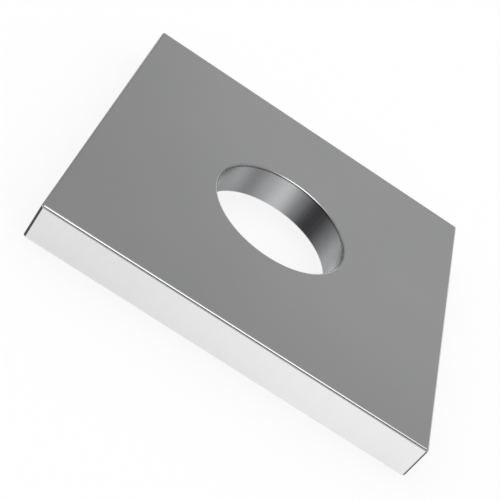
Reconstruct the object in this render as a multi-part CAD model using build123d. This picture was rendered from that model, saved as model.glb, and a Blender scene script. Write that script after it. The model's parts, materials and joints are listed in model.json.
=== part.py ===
from build123d import *
import os

# Square plate washer for an M10 bolt: one flat square of steel plate with a
# round clearance hole through its middle. The blank is cut from plate and the
# hole goes straight through. Tumbling then leaves a small even round on every
# edge: along both faces, on the four upright corners and on both rims of the hole.
#
# Frame: the origin is the middle of the hole on the lower bearing face, +Z runs
# up through the hole, and X and Y run square to the sides. Sizes are in mm.

# Plate
side_length = 30.0
plate_thickness = 3.0

# Hole, wider than the bolt that goes through it
bolt_diameter = 10.0
bolt_clearance = 1.0
hole_diameter = bolt_diameter + bolt_clearance

# Rounds left by tumbling
edge_radius = 0.2
rim_radius = 0.2


def square_blank():
    """The flat square of plate with its edges and upright corners rounded."""
    outline = Rectangle(side_length, side_length)
    blank = extrude(outline, plate_thickness)
    return fillet(blank.edges(), edge_radius)


def bolt_hole():
    """The round core that the bolt's hole takes out of the full thickness."""
    return extrude(Circle(hole_diameter / 2), plate_thickness)


def square_washer():
    """The blank pierced in its middle, with both rims of the hole rounded."""
    pierced = square_blank() - bolt_hole()
    arcs = pierced.edges().filter_by(GeomType.CIRCLE)
    rims = arcs.filter_by(lambda arc: arc.is_closed)
    return fillet(rims, rim_radius)


os.makedirs("parts", exist_ok=True)
export_step(square_washer(), "parts/square_washer.step")
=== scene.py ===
import json
import math
import bmesh
import bpy
from mathutils import Matrix, Vector


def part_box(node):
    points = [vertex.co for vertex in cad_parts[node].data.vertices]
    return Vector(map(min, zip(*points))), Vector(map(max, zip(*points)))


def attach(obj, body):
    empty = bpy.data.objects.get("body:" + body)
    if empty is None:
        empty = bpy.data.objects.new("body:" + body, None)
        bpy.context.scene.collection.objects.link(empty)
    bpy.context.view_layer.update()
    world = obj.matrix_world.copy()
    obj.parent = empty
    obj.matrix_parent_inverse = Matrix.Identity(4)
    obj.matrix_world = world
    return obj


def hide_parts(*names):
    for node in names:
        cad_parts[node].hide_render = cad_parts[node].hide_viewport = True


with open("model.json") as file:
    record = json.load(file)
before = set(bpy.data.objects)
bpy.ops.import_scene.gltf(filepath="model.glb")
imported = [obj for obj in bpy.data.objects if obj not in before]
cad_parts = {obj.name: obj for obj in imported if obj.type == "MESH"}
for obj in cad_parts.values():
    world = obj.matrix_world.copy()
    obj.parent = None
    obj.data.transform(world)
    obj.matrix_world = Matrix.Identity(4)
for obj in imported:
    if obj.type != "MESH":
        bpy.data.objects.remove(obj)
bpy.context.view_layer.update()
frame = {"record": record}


# The washer: one square of mild steel plate, blanked and punched from the sheet
# in a press. It is tumbled until every edge carries a small even round, and then
# bright zinc plated all over.

low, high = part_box("square_washer")
side = high.x - low.x
thickness = high.z - low.z
bore = next(mount for mount in frame["record"]["mounts"] if mount["kind"] == "bore")
hole_radius = bore["dims"]["r_mm"] / 1000
round_radius = (thickness - bore["dims"]["length_mm"] / 1000) / 2

# How finely the mesh follows the sides and the rounds.
steps_along_side = 56
steps_round_corner = 8
steps_round_edge = 8
stations = 4 * (steps_along_side + steps_round_corner)


def outline_stations():
    """The outline's core point and outward normal at each station, all the way round."""
    half_core = side / 2 - round_radius
    for quarter in range(4):
        turn = Matrix.Rotation(quarter * math.pi / 2, 3, "Z")
        for step in range(steps_along_side):
            along = -half_core + 2 * half_core * step / steps_along_side
            yield turn @ Vector((half_core, along, 0)), turn @ Vector((1, 0, 0))
        for step in range(steps_round_corner):
            angle = math.pi / 2 * step / steps_round_corner
            normal = Vector((math.cos(angle), math.sin(angle), 0))
            yield turn @ Vector((half_core, half_core, 0)), turn @ normal


def section(core, outward, station):
    """The washer cut through at one station: core points and normals round its four edges."""
    bearing = 2 * math.pi * station / stations - math.pi / 4
    inward = -Vector((math.cos(bearing), math.sin(bearing), 0))
    hole_core = -inward * (hole_radius + round_radius)
    up = Vector((0, 0, 1))
    bottom, top = up * round_radius, up * (thickness - round_radius)
    edges = (
        (core + top, up, outward),
        (core + bottom, outward, -up),
        (hole_core + bottom, -up, inward),
        (hole_core + top, inward, up),
    )
    for place, first, last in edges:
        for step in range(steps_round_edge + 1):
            angle = math.pi / 2 * step / steps_round_edge
            yield place, first * math.cos(angle) + last * math.sin(angle)


def washer_mesh():
    """Sections joined all the way round, every point one round's radius off its core."""
    shape = bmesh.new()
    made, normals = {}, []

    def vertex(core, normal):
        place = core + round_radius * normal
        key = tuple(round(value, 8) for value in place)
        if key not in made:
            made[key] = shape.verts.new(place)
            normals.append(normal)
        return made[key]

    rings = []
    for station, (core, outward) in enumerate(outline_stations()):
        rings.append([vertex(*point) for point in section(core, outward, station)])
    for ring, following in zip(rings, rings[1:] + rings[:1]):
        for here, there in zip(range(len(ring)), [*range(1, len(ring)), 0]):
            corners = (ring[here], ring[there], following[there], following[here])
            distinct = list(dict.fromkeys(corners))
            if len(distinct) > 2:
                shape.faces.new(distinct).smooth = True
    mesh = bpy.data.meshes.new("washer")
    shape.to_mesh(mesh)
    shape.free()
    mesh.normals_split_custom_set_from_vertices(normals)
    return mesh


washer = bpy.data.objects.new("washer", washer_mesh())
bpy.context.scene.collection.objects.link(washer)
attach(washer, "root")
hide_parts("square_washer")


def linear(hex_colour):
    """An sRGB hex colour as linear red, green, blue and alpha."""
    channels = []
    for start in (1, 3, 5):
        level = int(hex_colour[start:start + 2], 16) / 255
        channels.append(level / 12.92 if level <= 0.04045 else ((level + 0.055) / 1.055) ** 2.4)
    return [*channels, 1.0]


def add_node(tree, kind, inputs=None, **settings):
    """Adds one node, with its settings, and with links or values on its inputs."""
    node = tree.nodes.new(kind)
    for name, value in settings.items():
        setattr(node, name, value)
    for name, value in (inputs or {}).items():
        if isinstance(value, bpy.types.NodeSocket):
            tree.links.new(value, node.inputs[name])
        else:
            node.inputs[name].default_value = value
    return node


# Bright zinc plate on mild steel: a skin about a hundredth of a millimetre thick, which shines
# without a colour of its own and keeps the surface under it. So the eye meets a different
# finish on the rolled, the sheared and the punched surfaces, and the tumbled edges and the hole
# carry painted reflection.

zinc = bpy.data.materials.new("bright_zinc_plated_steel")
zinc.use_nodes = True
tree = zinc.node_tree
shader = tree.nodes["Principled BSDF"]
shader.inputs["Metallic"].default_value = 1
place = add_node(tree, "ShaderNodeTexCoord").outputs["Object"]

# The patterns, each with its grain's size along X, Y and Z in millimetres, its finer layers
# and where in the noise it starts. The starts of the drift and of the reflection patches are chosen
# so that light and dark lie along the front and round the hole as they do in the photograph:
# painted reflections.
grains = {
    # The plating is a little whiter where it is thicker, in clouds and in a slow drift.
    # The drift also carries painted reflection, lighter and darker along the front.
    "clouds": dict(size=(6, 6, 6), layers=2, start=(0, 0, 0)),
    "drift": dict(size=(20, 20, 20), layers=1, start=(16, 7, 0)),
    # The lines of the mill's rolls and the upright scores of blade and punch are really some
    # 0.03 mm wide. They are drawn as coarse as they need to show.
    "rolling lines": dict(size=(6, 0.25, 0.25), layers=2, start=(0, 0, 0)),
    "scores": dict(size=(0.28, 0.28, 12), layers=1, start=(0, 0, 0)),
    # Painted reflection on the wall of the hole: bands of dark and light round it, standing in for
    # the surroundings it mirrors.
    "patches": dict(size=(3, 3, 30), layers=0, start=(0.5, 6, 0)),
}
pattern = {}
for name, grain in grains.items():
    per_metre = [1000 / size for size in grain["size"]]
    spot = add_node(
        tree, "ShaderNodeVectorMath", {0: place, 1: per_metre, 2: grain["start"]},
        operation="MULTIPLY_ADD",
    )
    noise = add_node(
        tree, "ShaderNodeTexNoise",
        {"Vector": spot.outputs[0], "Scale": 1, "Detail": grain["layers"]},
    )
    pattern[name] = noise.outputs["Fac"]

# The noise hardly reaches 0 and 1, so the painted reflection bands are stretched from fully dark
# to fully light, and their middle tones are darkened a little.
darkest_band = 0.18
lightest_band = 0.76
darkening = 1.35
patches = add_node(
    tree, "ShaderNodeMapRange",
    {"Value": pattern["patches"], "From Min": darkest_band, "From Max": lightest_band},
)
patches = add_node(tree, "ShaderNodeMath", {0: patches.outputs[0], 1: darkening}, operation="POWER")
pattern["patches"] = patches.outputs[0]

# On the sides and in the hole the scores show faintly through the slower pattern.
score_shares = {"drift": 0.15, "patches": 0.06}
for name, share in score_shares.items():
    scored = add_node(
        tree, "ShaderNodeMath", {0: pattern["scores"], 1: share, 2: pattern[name]},
        operation="MULTIPLY_ADD",
    )
    pattern["scored " + name] = scored.outputs[0]

# How far out a point lies, towards the sides and from the axis of the hole.
apart = add_node(tree, "ShaderNodeVectorMath", {0: place}, operation="ABSOLUTE")
apart = add_node(tree, "ShaderNodeSeparateXYZ", {0: apart.outputs[0]}).outputs
outmost = add_node(tree, "ShaderNodeMath", {0: apart["X"], 1: apart["Y"]}, operation="MAXIMUM")
across = add_node(tree, "ShaderNodeVectorMath", {0: place, 1: (1, 1, 0)}, operation="MULTIPLY")
off_axis = add_node(tree, "ShaderNodeVectorMath", {0: across.outputs[0]}, operation="LENGTH")

# Which way it faces, in degrees: how far up, and how far off the way that the nearest side faces.
normal = add_node(tree, "ShaderNodeTexCoord").outputs["Normal"]
upward = add_node(tree, "ShaderNodeSeparateXYZ", {0: normal}).outputs["Z"]
upward = add_node(tree, "ShaderNodeMath", {0: upward}, operation="ARCSINE")
upward = add_node(tree, "ShaderNodeMath", {0: upward.outputs[0]}, operation="DEGREES")
facing = add_node(tree, "ShaderNodeVectorMath", {0: normal}, operation="ABSOLUTE")
facing = add_node(tree, "ShaderNodeSeparateXYZ", {0: facing.outputs[0]}).outputs
turned = add_node(tree, "ShaderNodeMath", {0: facing["X"], 1: facing["Y"]}, operation="MAXIMUM")
turned = add_node(tree, "ShaderNodeMath", {0: turned.outputs[0]}, operation="ARCCOSINE")
turned = add_node(tree, "ShaderNodeMath", {0: turned.outputs[0]}, operation="DEGREES")

# In the photograph the left and right edges are dark further up than the front one. Here that
# is painted dark reflection: where an edge runs across the rolling lines the painted dark reaches
# further up, by so many degrees. The other two are cosines of its turn away from the lines,
# where that reach begins and where it is complete.
painted_dark_further = 38
further_begins = 0.85
further_complete = 0.98
lengthwise = add_node(tree, "ShaderNodeVectorMath", {0: normal, 1: (1, 1, 0)}, operation="MULTIPLY")
for step in ("NORMALIZE", "ABSOLUTE"):
    lengthwise = add_node(tree, "ShaderNodeVectorMath", {0: lengthwise.outputs[0]}, operation=step)
lengthwise = add_node(tree, "ShaderNodeSeparateXYZ", {0: lengthwise.outputs[0]}).outputs["X"]
further = add_node(
    tree, "ShaderNodeMapRange",
    {
        "Value": lengthwise, "From Min": further_begins, "From Max": further_complete,
        "To Max": painted_dark_further,
    },
    interpolation_type="SMOOTHSTEP",
)
above_painted_dark = add_node(
    tree, "ShaderNodeMath", {0: upward.outputs[0], 1: further.outputs[0]}, operation="SUBTRACT"
)

# The zones, each by what is measured, where it begins and where it is complete. The sides and
# the hole take over part of the way round their edges.
limits = {
    "sides": dict(
        measure=outmost.outputs[0],
        begins=side / 2 - 0.7 * round_radius, complete=side / 2 - 0.2 * round_radius,
    ),
    "hole": dict(
        measure=off_axis.outputs["Value"],
        begins=hole_radius + 0.38 * round_radius, complete=hole_radius + 0.16 * round_radius,
    ),
    # The painted dark reflection line along the upper and the upright edges.
    "painted dark edges": dict(measure=turned.outputs[0], begins=2.5, complete=8.5),
    "off the top": dict(measure=above_painted_dark.outputs[0], begins=37, complete=-3),
    "off the lower edges": dict(measure=upward.outputs[0], begins=-7, complete=-1),
}
zone = {}
for name, limit in limits.items():
    reach = add_node(
        tree, "ShaderNodeMapRange",
        {"Value": limit["measure"], "From Min": limit["begins"], "From Max": limit["complete"]},
        interpolation_type="SMOOTHSTEP",
    )
    zone[name] = reach.outputs[0]

# The upper and the upright edges get the painted dark reflection line. The lower ones, with the
# lower rim of the hole, are bright in the photograph: they are left out of the painted dark and of
# the sides' and the hole's colours, and take the faces' lighter colour, which paints them lighter.
for name, within in (
    ("sides", "off the lower edges"),
    ("hole", "off the lower edges"),
    ("off the top", "off the lower edges"),
    ("painted dark edges", "off the top"),
):
    both = add_node(tree, "ShaderNodeMath", {0: zone[name], 1: zone[within]}, operation="MULTIPLY")
    zone[name] = both.outputs[0]

# The finishes, each laid over the ones before it: where it lies, the pattern of its colour
# and the ends of that colour, and the grain of its surface, with how smooth and how rough it
# is and how deep it goes in millimetres.
finishes = [
    # The bearing faces, smooth from the mill's rolls.
    dict(
        where=1.0, tones=pattern["clouds"], dark="#E9EAEB", light="#F1F1F1",
        grain=pattern["rolling lines"], smooth=0.08, rough=0.14, depth=0.0004,
    ),
    # The sheared sides, still bright, with faint upright marks and the drift's painted reflection.
    dict(
        where=zone["sides"], tones=pattern["scored drift"], dark="#D9D9DA", light="#F0F0F1",
        grain=pattern["scores"], smooth=0.10, rough=0.20, depth=0.0012,
    ),
    # The tumbled edges: a fine dark line, painted reflection.
    dict(
        where=zone["painted dark edges"], tones=pattern["drift"], dark="#26272A", light="#6A6B6D",
        grain=pattern["scores"], smooth=0.15, rough=0.25, depth=0.0006,
    ),
    # The wall of the punched hole, scored and dull, its colour darker than the faces' and in dark
    # and light bands round the hole: painted reflection.
    dict(
        where=zone["hole"], tones=pattern["scored patches"], dark="#2F2F32", light="#BFC0C1",
        grain=pattern["scores"], smooth=0.20, rough=0.36, depth=0.0020,
    ),
]
colour = linear("#000000")
roughness = 0.0
relief = 0.0
for finish in finishes:
    where = finish["where"]
    tone = add_node(
        tree, "ShaderNodeMix",
        {0: finish["tones"], 6: linear(finish["dark"]), 7: linear(finish["light"])},
        data_type="RGBA",
    )
    laid = add_node(
        tree, "ShaderNodeMix", {0: where, 6: colour, 7: tone.outputs[2]}, data_type="RGBA"
    )
    colour = laid.outputs[2]
    dulled = add_node(
        tree, "ShaderNodeMapRange",
        {"Value": finish["grain"], "To Min": finish["smooth"], "To Max": finish["rough"]},
    )
    laid = add_node(tree, "ShaderNodeMix", {0: where, 2: roughness, 3: dulled.outputs[0]})
    roughness = laid.outputs[0]
    raised = add_node(
        tree, "ShaderNodeMath", {0: finish["grain"], 1: finish["depth"] / 1000},
        operation="MULTIPLY",
    )
    laid = add_node(tree, "ShaderNodeMix", {0: where, 2: relief, 3: raised.outputs[0]})
    relief = laid.outputs[0]
bump = add_node(tree, "ShaderNodeBump", {"Height": relief, "Distance": 1, "Strength": 1})
tree.links.new(colour, shader.inputs["Base Color"])
tree.links.new(roughness, shader.inputs["Roughness"])
tree.links.new(bump.outputs["Normal"], shader.inputs["Normal"])
washer.data.materials.append(zinc)


# The floor: a sheet of white paper, flat under the washer and swept up all round it, so
# that the washer stands against plain white from every side. Its size is no part of the
# washer's, so it is only as large as that needs.

radii = [0.30, 0.42, 0.54, 0.66, 0.74, 0.80]
heights = [0, 0.008, 0.035, 0.085, 0.135, 0.19]
steps_round_sweep = 96

sweep = bmesh.new()
rings = []
for radius, height in zip(radii, heights):
    ring = []
    for step in range(steps_round_sweep):
        angle = 2 * math.pi * step / steps_round_sweep
        ring.append(sweep.verts.new((radius * math.cos(angle), radius * math.sin(angle), height)))
    rings.append(ring)
sweep.faces.new(rings[0])
for inner, outer in zip(rings, rings[1:]):
    for here, there in zip(range(steps_round_sweep), [*range(1, steps_round_sweep), 0]):
        sweep.faces.new((inner[here], outer[here], outer[there], inner[there])).smooth = True
floor_mesh = bpy.data.meshes.new("floor")
sweep.to_mesh(floor_mesh)
sweep.free()
floor = bpy.data.objects.new("floor", floor_mesh)
bpy.context.scene.collection.objects.link(floor)


def looked_at(tree):
    """1 for what is seen, straight or by way of metal or glass, and 0 for light that falls."""
    ray = add_node(tree, "ShaderNodeLightPath").outputs
    seen = ray["Is Camera Ray"]
    for way in ("Is Glossy Ray", "Is Transmission Ray"):
        either = add_node(
            tree, "ShaderNodeMath", {0: seen, 1: ray[way]}, operation="ADD", use_clamp=True
        )
        seen = either.outputs[0]
    return seen


# White paper, uncoated and matt, whose fibres are too fine to show. What the eye and the metal
# see of it is mostly plain white, and the rest takes the light and keeps the soft shadow.
white_share = 0.8
paper = bpy.data.materials.new("white_paper")
paper.use_nodes = True
tree = paper.node_tree
plain = add_node(tree, "ShaderNodeMath", {0: looked_at(tree), 1: white_share}, operation="MULTIPLY")
lit = add_node(tree, "ShaderNodeBsdfDiffuse", {"Color": linear("#FDFDFD")})
white = add_node(tree, "ShaderNodeEmission", {"Color": linear("#FFFFFF"), "Strength": 1})
mix = add_node(
    tree, "ShaderNodeMixShader", {0: plain.outputs[0], 1: lit.outputs[0], 2: white.outputs[0]}
)
tree.links.new(mix.outputs[0], tree.nodes["Material Output"].inputs["Surface"])
floor.data.materials.append(paper)


# The studio: a plain grey room round the paper, which the steel mirrors, with a pale
# ceiling, a long soft lamp over the washer's front edge and a black card before it. What
# falls on the scene from it is even white light, at the level at which a colour is itself.

studio = bpy.data.worlds.new("studio")
studio.use_nodes = True
tree = studio.node_tree
direction = add_node(tree, "ShaderNodeTexCoord").outputs["Generated"]


def card(behind, azimuth, elevation, radius, softness, brightness):
    """A round wall, card or lamp in front of what is behind it. Its middle hangs in the given
    direction, and radius and softness are its full part and its soft edge, all in degrees."""
    turn = math.radians(azimuth)
    lift = math.radians(elevation)
    level = math.cos(lift)
    towards = Vector((math.cos(turn) * level, math.sin(turn) * level, math.sin(lift)))
    near = add_node(
        tree, "ShaderNodeVectorMath", {0: direction, 1: towards}, operation="DOT_PRODUCT"
    )
    edge = math.cos(math.radians(radius + softness))
    full = math.cos(math.radians(radius))
    cover = add_node(
        tree, "ShaderNodeMapRange",
        {"Value": near.outputs["Value"], "From Min": edge, "From Max": full},
        interpolation_type="SMOOTHSTEP",
    )
    mix = add_node(tree, "ShaderNodeMix", {0: cover.outputs[0], 2: behind, 3: brightness})
    return mix.outputs[0]


# What lies behind the paper's upper edge is nearly black, and the lamp hangs in three lengths.
behind_paper = 0.05
walls = card(behind_paper, azimuth=0, elevation=90, radius=66, softness=8, brightness=0.283)
back_wall = card(walls, azimuth=74, elevation=11, radius=17, softness=10, brightness=0.34)
ceiling = card(back_wall, azimuth=0, elevation=90, radius=19, softness=10, brightness=0.65)
black_card = card(ceiling, azimuth=290, elevation=38, radius=14, softness=18, brightness=0.08)
lamp = card(black_card, azimuth=262, elevation=67, radius=8, softness=8, brightness=2.4)
lamp = card(lamp, azimuth=234, elevation=66, radius=6, softness=8, brightness=2.3)
lamp = card(lamp, azimuth=296, elevation=68, radius=6, softness=9, brightness=1.9)

even_light = 1.0
light = add_node(tree, "ShaderNodeMix", {0: looked_at(tree), 2: even_light, 3: lamp})
tree.links.new(light.outputs[0], tree.nodes["Background"].inputs["Strength"])
tree.nodes["Background"].inputs["Color"].default_value = linear("#FFFFFF")
bpy.context.scene.world = studio
bpy.context.scene.view_settings.view_transform = "Standard"


# The camera: a 90 mm lens held some 93 mm off, in front of the washer and a
# little to its left, looking down on it and rolled until the square stands on end.

camera = bpy.data.objects.new("camera", bpy.data.cameras.new("camera"))
bpy.context.scene.collection.objects.link(camera)
camera.data.lens = 90
camera.data.sensor_width = 36
camera.data.clip_start = 0.001
aim = Vector((-0.625, -1.456, 0)) / 1000
distance = 93.41 / 1000
heading = math.radians(8.8585)
dip = math.radians(32.052)
roll = math.radians(37.65)
camera.matrix_world = (
    Matrix.Translation(aim)
    @ Matrix.Rotation(-heading, 4, "Z")
    @ Matrix.Rotation(math.pi / 2 - dip, 4, "X")
    @ Matrix.Rotation(roll, 4, "Z")
    @ Matrix.Translation((0, 0, distance))
)
bpy.context.scene.camera = camera
